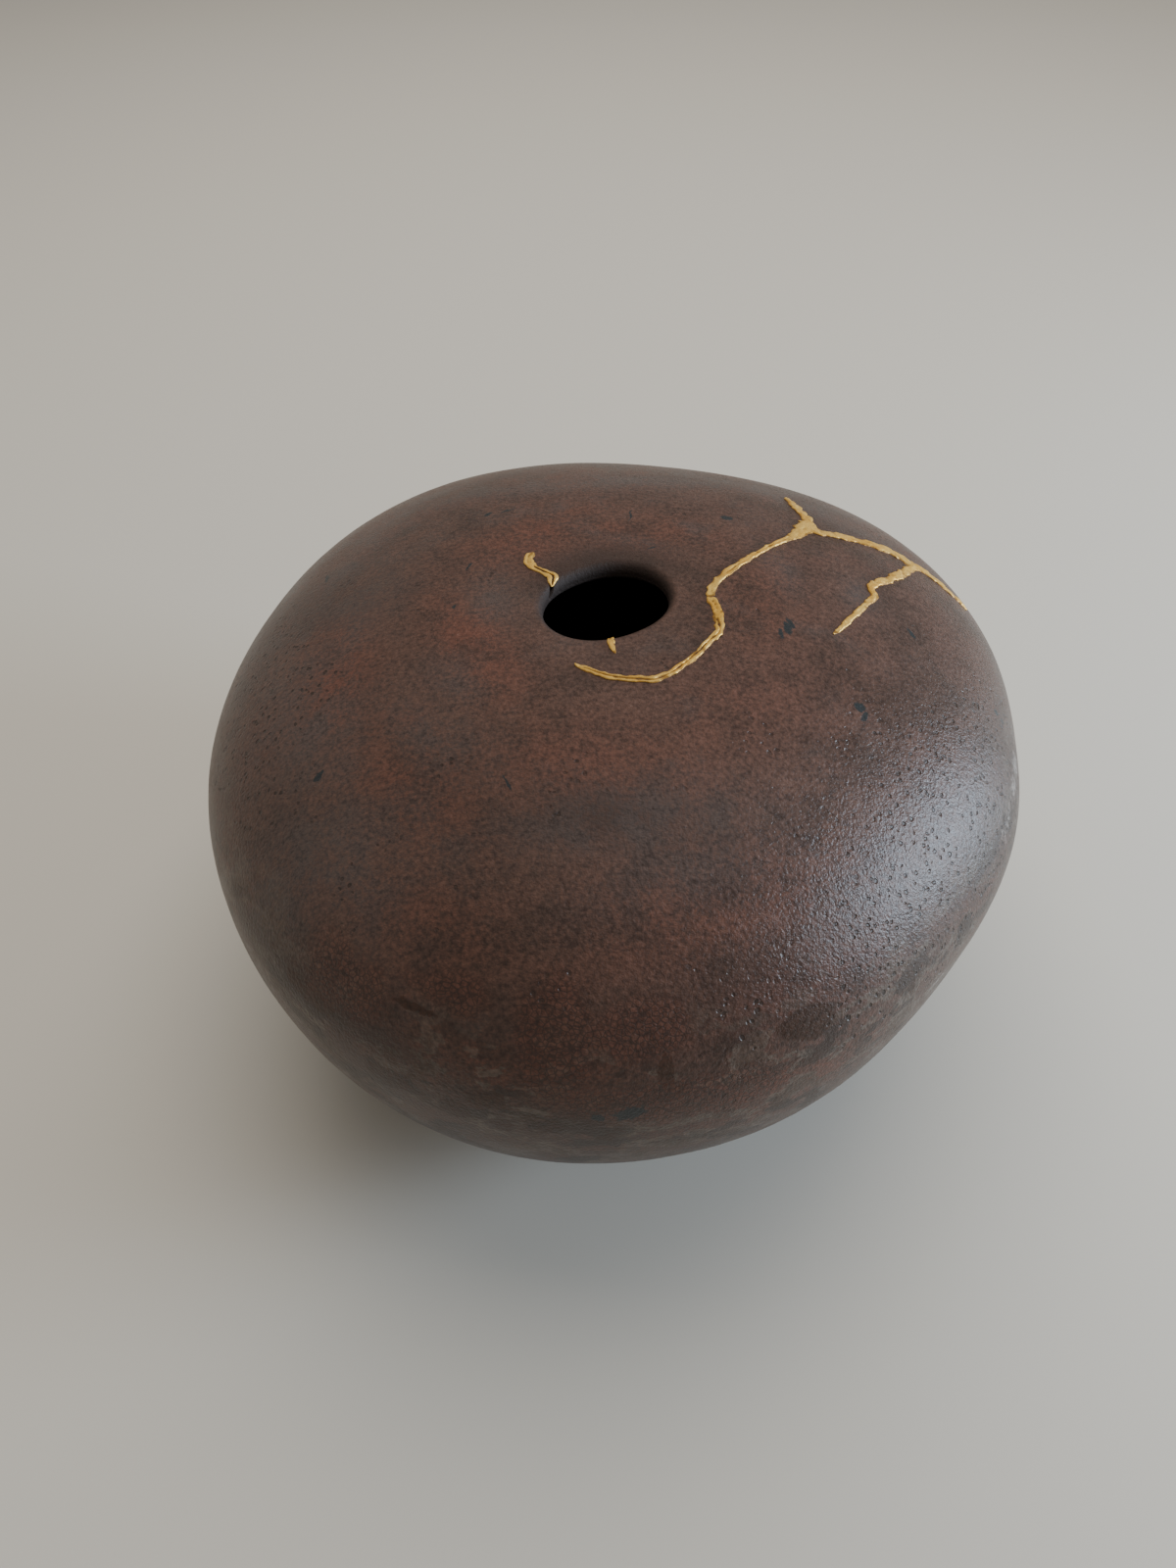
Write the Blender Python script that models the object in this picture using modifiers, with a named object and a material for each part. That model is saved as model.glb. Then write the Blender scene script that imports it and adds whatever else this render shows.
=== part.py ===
# Kintsugi vase: a wide, squashed stoneware vessel with a small rolled-in mouth,
# mended with raised gold seams. Metres, +Z up, origin at the middle of the foot.
# Azimuth 0 points along +X, and 90 along +Y, the side away from the viewer.

import math

import bmesh
import bpy
import numpy as np

# Vessel
RADIUS = 0.140         # belly, before the swells
BOWL_H = 0.1025        # table to the widest ring
DOME_H = 0.0695        # widest ring to where the plain dome would close
FOOT_R = 0.057         # flat foot
FOOT_EASE = 0.004      # how far the foot's edge is rounded, each way
WALL = 0.007           # clay, and the width of the lip
FLOOR = 0.009          # clay under the hollow
DOME_POWER = 2.1       # superellipse power over the belly, 2 is an ellipse
BOWL_POWER = 1.9       # and under it

# Flattened top round the mouth
DIP = 0.0047           # how far the top sinks at the axis
DIP_REACH = 0.040      # radius where the dip has mostly gone

# Mouth, a slight oval
MOUTH_LONG_R = 0.0199
MOUTH_SHORT_R = 0.0163
MOUTH_AZ = 30          # azimuth of its long axis
OVAL_REACH = 0.016     # how far out from the lip the oval fades

# Swells and flats of the hand-built wall
SWELL = 0.0091         # height of the tallest, which the others are shares of
SWELL_REACH = 0.063    # how far out from the lip they reach full height
SWELLS = (             # azimuth, spread in degrees and share
    (38, 20, 0.81),
    (118, 23, 1.00),
    (186, 36, -0.60),
    (250, 20, 0.50),
    (319, 16, -0.63),
    (352, 10, -0.32),
)

# Gold seams
SEAM_W = 0.0030        # usual width, which the routes give shares of
SEAM_DEPTH = 0.0012    # below the clay's skin
SEAM_RISE = 0.0005     # above it
SEAM_STEP = 0.0028     # between two sections
SEAM_BASE = 0.8        # share of the width that is left at the bottom
SEAM_CROWN = 0.45      # share of the width that is flat on top
SEAM_GAP = 0.0003      # clearance between gold and clay
CUT_RISE = 0.0030      # how far a groove's cutter stands out of the skin
BRANCH_STEP = 0.0001   # each further branch is this much shallower, above and below

# Open crack over the lip
CRACK_W = 0.0010
CRACK_DEPTH = 0.0013

# Fineness of the mesh
STEPS = 64             # round the vessel
DOME_ROWS = 14
BOWL_ROWS = 9
LIP_ROWS = 6
INNER_ROWS = 13
MERGE = 0.00005        # points closer than this are one
NUDGE = 0.05           # degrees either side when a slope is taken
SHARP = 40             # degrees at which an edge stays sharp

# A route's points: azimuth, station and share of the usual width. A station is
# -90 at the foot's edge, 0 at the belly, 90 on the lip's crest and 180 in the throat.
BLOB = (33, 62.4)
FORK = (20, 43.5)
LONG_SEAM = {
    "gold_seam_long": (
        (-108, 85.2, 0.40), (-101, 84.6, 0.75), (-89.5, 83.3, 0.85), (-77, 82.2, 1.00),
        (-73, 81.8, 1.20), (-67.5, 81.8, 0.95), (-54, 82.5, 0.90), (-36.5, 83.1, 0.85),
        (-27, 83.0, 1.00), (-19.5, 83.8, 1.25), (-13, 84.4, 1.20), (-2, 85.4, 1.05),
        (6, 85.0, 1.00), (12, 83.8, 1.00), (17, 81.7, 1.00), (21.5, 78.7, 0.85),
        (25, 75.2, 0.75), (27.2, 72.2, 0.75), (28.7, 69.1, 0.90), (30.5, 65.8, 1.70),
        (*BLOB, 2.50), (34.5, 61.0, 1.60),
    ),
    "spike": ((*BLOB, 1.70), (36.5, 60.1, 1.40), (39.5, 59.1, 1.30), (43, 57.1, 1.10), (46.5, 55.1, 0.80)),
    "shoulder_branch": (
        (*BLOB, 1.90), (30, 61.9, 1.60), (28.5, 59.4, 1.50), (25.5, 52.8, 1.50),
        (23, 46.4, 2.00), (*FORK, 1.80), (19.2, 42.5, 1.50),
    ),
    "hook": (
        (*FORK, 1.40), (16, 49.6, 1.20), (12.5, 54.3, 1.15), (10.5, 57.5, 1.10),
        (8.6, 58.9, 1.00), (6, 58.8, 0.95), (3, 60.3, 0.80), (-1.5, 62.4, 0.80),
        (-5.5, 64.1, 0.75), (-10, 65.7, 0.60), (-12.5, 66.6, 0.30),
    ),
    "thin_run": (
        (*FORK, 1.40), (20, 41.5, 1.30), (18.5, 38.3, 1.20), (16.5, 34.8, 1.10),
        (15, 30.3, 1.00), (14, 28.5, 0.60),
    ),
}
LEFT_SEAM = (
    (131.5, 84.5, 0.70), (136, 84.9, 1.10), (140, 85.7, 1.15), (142, 87.0, 1.10),
    (142.5, 88.4, 1.15), (144, 94.0, 1.05), (147, 108, 0.95), (151, 125, 0.80), (154, 135, 0.45),
)
FRONT_DROP = ((-87, 130, 0.80), (-88, 105, 0.85), (-88, 89.4, 0.85), (-87, 88.5, 0.60), (-86, 87.5, 0.25))
CRACK = ((152, 128, 1.0), (156.5, 155, 1.0), (161, 180, 0.6))

# Colours
CLAY = (0.085, 0.045, 0.035)
GOLD = (0.62, 0.42, 0.17)

MOUTH_R = (MOUTH_LONG_R + MOUTH_SHORT_R) / 2
CREST_R = MOUTH_R + WALL / 2


def power_curve(share, power):
    """Height of a superellipse of height 1 at a share of its radius."""
    return (1 - np.clip(share, 0, 1) ** power) ** (1 / power)


def dome(r):
    """Height of the outside over the belly, at a radius, with the dip round the mouth."""
    rise = DOME_H * power_curve(r / RADIUS, DOME_POWER)
    return BOWL_H + rise - DIP * np.exp(-((r / DIP_REACH) ** 2))


def bowl(r):
    """Height of the outside below the belly, which meets the table at the foot."""
    depth = BOWL_H / power_curve(FOOT_R / RADIUS, BOWL_POWER)
    return BOWL_H - depth * power_curve(r / RADIUS, BOWL_POWER)


def plain_skin(station):
    """Radius and height of the turned outside at a station."""
    crest = math.acos((CREST_R / RADIUS) ** (DOME_POWER / 2))
    foot = math.acos((FOOT_R / RADIUS) ** (BOWL_POWER / 2))
    upper = station > 0
    latitude = np.where(upper, np.minimum(station, 90) * crest, station * foot) / 90
    power = np.where(upper, DOME_POWER, BOWL_POWER)
    r = RADIUS * np.cos(latitude) ** (2 / power)
    z = np.where(upper, dome(r), bowl(r))
    roll = np.radians(np.clip(station - 90, 0, 90))
    return r - WALL / 2 * np.sin(roll), z - WALL / 2 * (1 - np.cos(roll))


def fade(share):
    """From 0 to 1 with level ends."""
    share = np.clip(share, 0, 1)
    return share * share * (3 - 2 * share)


def pressed(r, azimuth):
    """Radius after the hand has pressed the turned form: swells far out, an oval at the mouth."""
    swell = 0
    for middle, spread, share in SWELLS:
        away = (azimuth - middle + 180) % 360 - 180
        swell = swell + SWELL * share * np.exp(-0.5 * (away / spread) ** 2)
    oval = (MOUTH_LONG_R - MOUTH_SHORT_R) / 2 * np.cos(np.radians(2 * (azimuth - MOUTH_AZ)))
    far = fade((r - CREST_R) / SWELL_REACH)
    near = fade(r / MOUTH_R) * (1 - fade((r - CREST_R) / OVAL_REACH))
    return r * (1 + far * swell / RADIUS) + near * oval


def skin(azimuth, station):
    """Points on the finished outside."""
    r, z = plain_skin(station)
    r = pressed(r, azimuth)
    turn = np.radians(azimuth)
    return np.stack([r * np.cos(turn), r * np.sin(turn), z], axis=-1)


def unit(vectors):
    return vectors / np.linalg.norm(vectors, axis=-1, keepdims=True)


def skin_normal(azimuth, station):
    """Outward directions of the finished outside."""
    along = skin(azimuth + NUDGE, station) - skin(azimuth - NUDGE, station)
    up = skin(azimuth, station + NUDGE) - skin(azimuth, station - NUDGE)
    return unit(np.cross(along, up))


def outside_profile():
    """The turned outside from the lip's crest down to the middle of the foot."""
    r, z = plain_skin(np.concatenate([
        np.linspace(90, 0, DOME_ROWS, endpoint=False),
        np.linspace(0, -90, BOWL_ROWS, endpoint=False),
    ]))
    wall = r > FOOT_R + 1.5 * FOOT_EASE
    ease_z = float(bowl(FOOT_R + FOOT_EASE))
    edge = [
        (FOOT_R + FOOT_EASE, ease_z),
        (FOOT_R + FOOT_EASE / 4, ease_z / 4),
        (FOOT_R - FOOT_EASE / 2, 0),
    ]
    return list(zip(r[wall], z[wall])) + edge + [(0, 0)]


def inside_profile():
    """The hollow from the middle of its floor up to the lip: the outside moved in by the wall."""
    station = np.concatenate([
        np.linspace(-89, 0, INNER_ROWS // 2, endpoint=False),
        np.linspace(0, 90, INNER_ROWS - INNER_ROWS // 2 + 1),
    ])
    r, z = plain_skin(station)
    ahead_r, ahead_z = plain_skin(np.minimum(station + NUDGE, 90))
    behind_r, behind_z = plain_skin(station - NUDGE)
    run_r = ahead_r - behind_r
    run_z = ahead_z - behind_z
    length = np.hypot(run_r, run_z)
    r = r - WALL * run_z / length
    z = z + WALL * run_r / length
    clear = z > FLOOR + WALL / 2
    wall = list(zip(r[clear], z[clear]))
    corner_r = wall[0][0] - WALL
    return [(0, FLOOR), (corner_r, FLOOR)] + wall[:-1] + [(CREST_R, float(dome(CREST_R)) - WALL)]


def lip_profile():
    """The lip's half circle, from the hollow over the throat to the crest, without its ends."""
    middle_z = float(dome(CREST_R)) - WALL / 2
    turns = np.linspace(-math.pi / 2, math.pi / 2, LIP_ROWS + 1)[1:-1]
    return [(CREST_R - WALL / 2 * math.cos(t), middle_z + WALL / 2 * math.sin(t)) for t in turns]


def clear_scene():
    for obj in list(bpy.data.objects):
        bpy.data.objects.remove(obj, do_unlink=True)


def new_collection(name):
    collection = bpy.data.collections.new(name)
    bpy.context.scene.collection.children.link(collection)
    return collection


def new_material(name, colour, roughness, metallic):
    material = bpy.data.materials.new(name)
    material.use_nodes = True
    shader = material.node_tree.nodes["Principled BSDF"]
    shader.inputs["Base Color"].default_value = (*colour, 1)
    shader.inputs["Roughness"].default_value = roughness
    shader.inputs["Metallic"].default_value = metallic
    return material


def new_object(name, mesh, collection, material=None):
    obj = bpy.data.objects.new(name, mesh)
    collection.objects.link(obj)
    if material:
        mesh.materials.append(material)
    return obj


def new_cutter(name, mesh, collection):
    cutter = new_object(name, mesh, collection)
    cutter.hide_render = True
    cutter.display_type = "WIRE"
    return cutter


def combine(obj, other, operation):
    modifier = obj.modifiers.new(other.name, "BOOLEAN")
    modifier.operation = operation
    modifier.solver = "EXACT"
    modifier.object = other


def smooth_shade(mesh):
    mesh.shade_smooth()
    mesh.set_sharp_from_angle(angle=math.radians(SHARP))


def turned_shell(collection):
    """The plain shell, turned from its profile about +Z."""
    points = inside_profile() + lip_profile() + outside_profile()
    mesh = bpy.data.meshes.new("profile")
    edges = [(i, i + 1) for i in range(len(points) - 1)]
    mesh.from_pydata([(r, 0, z) for r, z in points], edges, [])
    profile = new_object("profile", mesh, collection)
    screw = profile.modifiers.new("turn", "SCREW")
    screw.angle = math.tau
    screw.axis = "Z"
    screw.steps = STEPS
    screw.render_steps = STEPS
    screw.use_merge_vertices = True
    screw.merge_threshold = MERGE
    shell = bpy.data.meshes.new_from_object(profile.evaluated_get(bpy.context.evaluated_depsgraph_get()))
    bpy.data.objects.remove(profile, do_unlink=True)
    bpy.data.meshes.remove(mesh)
    return shell


def vase_body(collection, material):
    """The shell with its swells and its oval mouth."""
    mesh = turned_shell(collection)
    mesh.name = "vase_body"
    at = np.empty(len(mesh.vertices) * 3, dtype=np.float32)
    mesh.vertices.foreach_get("co", at)
    at = at.reshape(-1, 3)
    r = np.hypot(at[:, 0], at[:, 1])
    turn = np.arctan2(at[:, 1], at[:, 0])
    r = pressed(r, np.degrees(turn))
    at[:, 0] = r * np.cos(turn)
    at[:, 1] = r * np.sin(turn)
    mesh.vertices.foreach_set("co", at.ravel())
    work = bmesh.new()
    work.from_mesh(mesh)
    bmesh.ops.triangulate(work, faces=work.faces)
    work.to_mesh(mesh)
    work.free()
    smooth_shade(mesh)
    return new_object("vase_body", mesh, collection, material)


def follow(points):
    """Places, outward directions and widths at even steps of a smooth curve through a route's points."""
    azimuth, station, share = np.array(points, dtype=float).T
    places = skin(azimuth, station)
    reach = np.concatenate([[0], np.cumsum(np.linalg.norm(np.diff(places, axis=0), axis=1))])
    values = np.column_stack([places, skin_normal(azimuth, station), share])
    slopes = np.gradient(values, reach, axis=0)
    at = np.linspace(0, reach[-1], max(3, round(reach[-1] / SEAM_STEP) + 1))
    leg = np.clip(np.searchsorted(reach, at, side="right") - 1, 0, len(reach) - 2)
    span = (reach[leg + 1] - reach[leg])[:, None]
    part = (at - reach[leg])[:, None] / span
    square, cube = part ** 2, part ** 3
    curve = ((2 * cube - 3 * square + 1) * values[leg] + (cube - 2 * square + part) * span * slopes[leg]
             + (3 * square - 2 * cube) * values[leg + 1] + (cube - square) * span * slopes[leg + 1])
    return curve[:, :3], unit(curve[:, 3:6]), curve[:, 6]


def ribbon(name, points, width, depth, rise, grow=0):
    """A strip along the skin: six corners a section, each with the route's width there.

    Grown, it is the cutter of the strip's groove.
    """
    middle, outward, share = follow(points)
    count = len(middle)
    ahead = unit(np.gradient(middle, axis=0))
    middle[0] -= ahead[0] * grow
    middle[-1] += ahead[-1] * grow
    side = unit(np.cross(outward, ahead))
    half = width * share / 2
    crown = half if grow else half * SEAM_CROWN
    section = (
        (-half * SEAM_BASE - grow, -depth - grow),
        (half * SEAM_BASE + grow, -depth - grow),
        (half + grow, 0),
        (crown + grow, rise),
        (-crown - grow, rise),
        (-half - grow, 0),
    )
    corners = len(section)
    rings = np.stack([
        middle + side * (0 * half + across)[:, None] + outward * height
        for across, height in section
    ], axis=1)
    faces = [tuple(range(corners)), tuple(reversed(range((count - 1) * corners, count * corners)))]
    for ring in range(count - 1):
        for corner in range(corners):
            after = (corner + 1) % corners
            low, high = ring * corners, (ring + 1) * corners
            faces.append((low + corner, high + corner, high + after, low + after))
    mesh = bpy.data.meshes.new(name)
    mesh.from_pydata(rings.reshape(-1, 3), [], faces)
    work = bmesh.new()
    work.from_mesh(mesh)
    bmesh.ops.triangulate(work, faces=work.faces)
    bmesh.ops.recalc_face_normals(work, faces=work.faces)
    work.to_mesh(mesh)
    work.free()
    smooth_shade(mesh)
    return mesh


def gold_seam(name, routes, parts, tools, material, body):
    """One gold piece from its routes, and its grooves in the body."""
    seam = None
    for order, (route, points) in enumerate(routes.items()):
        less = order * BRANCH_STEP
        mesh = ribbon(route, points, SEAM_W, SEAM_DEPTH - less, SEAM_RISE - less)
        if seam is None:
            seam = new_object(name, mesh, parts, material)
        else:
            combine(seam, new_cutter(route, mesh, tools), "UNION")
        groove = ribbon(f"{route}_groove", points, SEAM_W, SEAM_DEPTH - less, CUT_RISE - less, SEAM_GAP)
        combine(body, new_cutter(groove.name, groove, tools), "DIFFERENCE")
    return seam


def main():
    clear_scene()
    parts = new_collection("kintsugi_vase")
    tools = new_collection("cutters")
    clay = new_material("stoneware", CLAY, 0.55, 0)
    gold = new_material("gold_leaf", GOLD, 0.4, 1)
    body = vase_body(parts, clay)
    gold_seam("gold_seam_long", LONG_SEAM, parts, tools, gold, body)
    gold_seam("gold_seam_left", {"gold_seam_left": LEFT_SEAM}, parts, tools, gold, body)
    gold_seam("gold_seam_front", {"gold_seam_front": FRONT_DROP}, parts, tools, gold, body)
    crack = ribbon("crack", CRACK, CRACK_W, CRACK_DEPTH, CUT_RISE, SEAM_GAP)
    combine(body, new_cutter("crack", crack, tools), "DIFFERENCE")


main()
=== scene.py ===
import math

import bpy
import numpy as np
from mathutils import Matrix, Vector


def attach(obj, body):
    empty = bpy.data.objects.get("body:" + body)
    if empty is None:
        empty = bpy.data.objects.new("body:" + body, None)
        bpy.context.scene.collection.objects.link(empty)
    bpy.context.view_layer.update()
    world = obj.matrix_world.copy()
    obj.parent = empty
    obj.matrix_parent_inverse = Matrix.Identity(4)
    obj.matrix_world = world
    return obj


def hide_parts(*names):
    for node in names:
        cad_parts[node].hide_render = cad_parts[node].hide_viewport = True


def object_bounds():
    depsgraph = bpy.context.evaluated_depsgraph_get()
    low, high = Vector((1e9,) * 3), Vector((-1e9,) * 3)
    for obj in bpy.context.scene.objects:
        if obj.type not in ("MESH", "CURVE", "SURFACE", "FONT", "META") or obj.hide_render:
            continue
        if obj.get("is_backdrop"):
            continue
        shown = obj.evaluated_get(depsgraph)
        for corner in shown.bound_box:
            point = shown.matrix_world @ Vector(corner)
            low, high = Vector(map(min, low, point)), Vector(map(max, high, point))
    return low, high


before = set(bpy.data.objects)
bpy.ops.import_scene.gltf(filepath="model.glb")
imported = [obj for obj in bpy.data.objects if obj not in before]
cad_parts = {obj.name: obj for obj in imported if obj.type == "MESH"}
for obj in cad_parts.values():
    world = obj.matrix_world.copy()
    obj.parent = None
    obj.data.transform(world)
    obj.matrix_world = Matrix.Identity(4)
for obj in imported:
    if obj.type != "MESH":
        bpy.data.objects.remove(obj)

# Kintsugi vase: the fired skin with its patina, and the gold mends laid over it.
# Azimuth 0 points along +X and 90 along +Y, away from the viewer. A station is -90 at
# the foot's edge, 0 at the belly, 90 on the lip's crest and 180 in the throat.

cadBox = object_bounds()

vase = {
    "radius": 0.140,
    "bowlHeight": 0.1025,
    "domeHeight": 0.0695,
    "footRadius": 0.057,
    "footEase": 0.004,
    "wall": 0.007,
    "floor": 0.009,
    "domePower": 2.1,
    "bowlPower": 1.9,
    "dip": 0.0047,             # the flattened top round the mouth
    "dipReach": 0.040,
    "mouthLong": 0.0199,
    "mouthShort": 0.0163,
    "mouthAzimuth": 30,
    "ovalReach": 0.016,
    "swell": 0.0091,
    "swellReach": 0.063,
    "swells": (                # azimuth, spread in degrees and share
        (38, 20, 0.81), (118, 23, 1.00), (186, 36, -0.60),
        (250, 20, 0.50), (319, 16, -0.63), (352, 10, -0.32),
    ),
    "steps": 420,              # round the vessel
    "rows": {                  # over the foot, up the outside, round the lip and down the inside
        "foot": 12, "bend": 6, "bowl": 88, "top": 40, "lip": 24, "ceiling": 24, "basin": 20, "floor": 8,
    },
    "fineFrom": 58,            # the station above which the rows lie closer
    "crackFrom": 100,          # the station past which the open crack shows
    "throatEnd": 200,          # the station at which the ripples end
    "hollow": 300,             # the station that every row of the inside is given
    "footFade": 6,             # degrees over which the ripples start above the foot
    "lipFade": 60,             # degrees over which the inside's tone starts past the crest
    "ripples": (               # size and height of the hand's unevenness
        (0.052, 0.00026), (0.021, 0.00012), (0.008, 0.00005),
    ),
    "settle": 0.00034,         # how far the whole skin is drawn in to keep inside the solid
    "crack": ((147, 108), (152, 128), (156.5, 155), (161, 180)),
    "crackWidth": 0.0009,
    "crackDepth": 0.0013,
}
mouthRadius = (vase["mouthLong"] + vase["mouthShort"]) / 2
crestRadius = mouthRadius + vase["wall"] / 2
nudge = 0.05                   # degrees to each side, to take a slope by


def superCurve(share, power):
    # Height of a superellipse: the power-th root of one less the share to that power.
    return (1 - np.clip(share, 0, 1) ** power) ** (1 / power)


def domeHeight(r):
    # The belly's height, plus a superellipse, less a bell-shaped dip round the axis.
    rise = vase["domeHeight"] * superCurve(r / vase["radius"], vase["domePower"])
    return vase["bowlHeight"] + rise - vase["dip"] * np.exp(-(r / vase["dipReach"]) ** 2)


def bowlHeight(r):
    # The belly's height less a superellipse that is scaled to reach the table at the foot.
    power = vase["bowlPower"]
    depth = vase["bowlHeight"] / superCurve(vase["footRadius"] / vase["radius"], power)
    return vase["bowlHeight"] - depth * superCurve(r / vase["radius"], power)


def plainSkin(station):
    # Radius and height: a cosine of the latitude to two over the power, then a quarter circle over the lip.
    crest = math.acos((crestRadius / vase["radius"]) ** (vase["domePower"] / 2))
    foot = math.acos((vase["footRadius"] / vase["radius"]) ** (vase["bowlPower"] / 2))
    upper = station > 0
    latitude = np.where(upper, np.minimum(station, 90) * crest, station * foot) / 90
    power = np.where(upper, vase["domePower"], vase["bowlPower"])
    r = vase["radius"] * np.cos(latitude) ** (2 / power)
    z = np.where(upper, domeHeight(r), bowlHeight(r))
    roll = np.radians(np.clip(station - 90, 0, 90))
    return r - vase["wall"] / 2 * np.sin(roll), z - vase["wall"] / 2 * (1 - np.cos(roll))


def fade(share):
    # Three times the square less twice the cube, level at 0 and at 1.
    share = np.clip(share, 0, 1)
    return share * share * (3 - 2 * share)


def pressedBy(r, azimuth):
    # The share that the swells add far out, and the length that the oval adds at the mouth.
    swell = 0
    for middle, spread, share in vase["swells"]:
        away = (azimuth - middle + 180) % 360 - 180
        swell = swell + vase["swell"] * share * np.exp(-0.5 * (away / spread) ** 2)
    oval = (vase["mouthLong"] - vase["mouthShort"]) / 2 * np.cos(np.radians(2 * (azimuth - vase["mouthAzimuth"])))
    far = fade((r - crestRadius) / vase["swellReach"])
    near = fade(r / mouthRadius) * (1 - fade((r - crestRadius) / vase["ovalReach"]))
    return far * swell / vase["radius"], near * oval


def placed(r, z, azimuth):
    # The turned point, pressed by the hand, at its azimuth.
    stretch, oval = pressedBy(r, azimuth)
    r = r * (1 + stretch) + oval
    turn = np.radians(azimuth)
    return np.stack([r * np.cos(turn), r * np.sin(turn), z + 0 * turn], axis=-1)


def unit(vectors):
    return vectors / np.maximum(np.linalg.norm(vectors, axis=-1, keepdims=True), 1e-12)


def skin(azimuth, station):
    # The outline's radius and height at a station, pressed and turned to an azimuth.
    return placed(*plainSkin(station), azimuth)


def skinNormal(azimuth, station):
    # Outward: the way round crossed with the way up.
    along = skin(azimuth + nudge, station) - skin(azimuth - nudge, station)
    up = skin(azimuth, station + nudge) - skin(azimuth, station - nudge)
    return unit(np.cross(along, up))


def spotOnSkin(azimuth, station):
    # A place on the skin, with the level way along it, the way up it and the way out.
    at = np.array(float(azimuth)), np.array(float(station))
    outward = skinNormal(*at)
    level = unit(np.cross((0, 0, 1), outward))
    return skin(*at), level, np.cross(outward, level), outward


def cloud(points, size, seed):
    # A smooth random field from -1 to 1: each corner of a grid of cubes has its own value, mixed
    # from its place by large primes, and a point takes the mean of its cube's eight, weighted by fades.
    at = points / size + seed * 7.31
    cell = np.floor(at).astype(np.int64)
    part = fade(at - cell)
    total = 0
    for corner in range(8):
        step = np.array([corner & 1, corner >> 1 & 1, corner >> 2 & 1])
        weight = np.prod(np.where(step == 1, part, 1 - part), axis=-1)
        key = (cell + step) @ np.array([73856093, 19349663, 83492791]) + seed * 7919
        key = (key ^ (key >> 13)) * 1274126177 % 2147483647
        key = (key ^ (key >> 11)) * 668265263 % 2147483647
        total = total + weight * (key % 65536 / 32768 - 1)
    return total


def ripple(points):
    # The hand's unevenness: clouds of three sizes, less what the whole skin is drawn in by.
    total = -vase["settle"]
    for seed, (size, height) in enumerate(vase["ripples"]):
        total = total + height * cloud(points, size, seed + 1)
    return total


def claySkin(azimuth, station):
    # The pressed skin, moved out along its normal by the ripples.
    points = skin(azimuth, station)
    return points + skinNormal(azimuth, station) * ripple(points)[..., None]


def makeMesh(name, points, quads, triangles=()):
    # A mesh from arrays of points, quads and triangles, shaded smooth.
    quads = np.asarray(quads, dtype=np.int32).reshape(-1, 4)
    triangles = np.asarray(triangles, dtype=np.int32).reshape(-1, 3)
    mesh = bpy.data.meshes.new(name)
    mesh.vertices.add(len(points))
    mesh.vertices.foreach_set("co", points.astype(np.float32).ravel())
    corners = np.concatenate([quads.ravel(), triangles.ravel()])
    mesh.loops.add(len(corners))
    mesh.loops.foreach_set("vertex_index", corners)
    sizes = np.concatenate([np.full(len(quads), 4), np.full(len(triangles), 3)])
    mesh.polygons.add(len(sizes))
    mesh.polygons.foreach_set("loop_start", np.concatenate([[0], np.cumsum(sizes)[:-1]]).astype(np.int32))
    mesh.update(calc_edges=True)
    mesh.validate()
    mesh.shade_smooth()
    return mesh


def ringGrid(rows, columns):
    # Quads between rows of points, each row closed on itself.
    row, column = np.meshgrid(np.arange(rows - 1), np.arange(columns), indexing="ij")
    after = (column + 1) % columns
    low, high = row * columns, (row + 1) * columns
    return np.stack([low + column, low + after, high + after, high + column], axis=-1).reshape(-1, 4)


def fanOf(ring, middle, flip):
    # Triangles from a closed ring of points to one point.
    after = np.roll(ring, -1)
    centre = np.full(len(ring), middle)
    return np.stack([after, ring, centre] if flip else [ring, after, centre], axis=-1)


def addPiece(name, mesh, material, node):
    piece = bpy.data.objects.new(name, mesh)
    bpy.context.scene.collection.objects.link(piece)
    mesh.materials.clear()
    mesh.materials.append(material)
    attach(piece, "root")
    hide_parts(node)
    return piece


def setTone(mesh, name, values):
    layer = mesh.attributes.new(name, "FLOAT", "POINT")
    layer.data.foreach_set("value", np.asarray(values, dtype=np.float32))


# Shader maths

class Tone:
    # One socket of a material, which can be reckoned with like a number.
    def __init__(self, finish, socket):
        self.finish = finish
        self.socket = socket

    def maths(self, operation, first, second):
        return self.finish.node("ShaderNodeMath", {"operation": operation}, {0: first, 1: second})

    def __add__(self, other):
        return self.maths("ADD", self, other)

    def __radd__(self, other):
        return self.maths("ADD", other, self)

    def __sub__(self, other):
        return self.maths("SUBTRACT", self, other)

    def __rsub__(self, other):
        return self.maths("SUBTRACT", other, self)

    def __mul__(self, other):
        return self.maths("MULTIPLY", self, other)

    def __rmul__(self, other):
        return self.maths("MULTIPLY", other, self)


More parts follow.
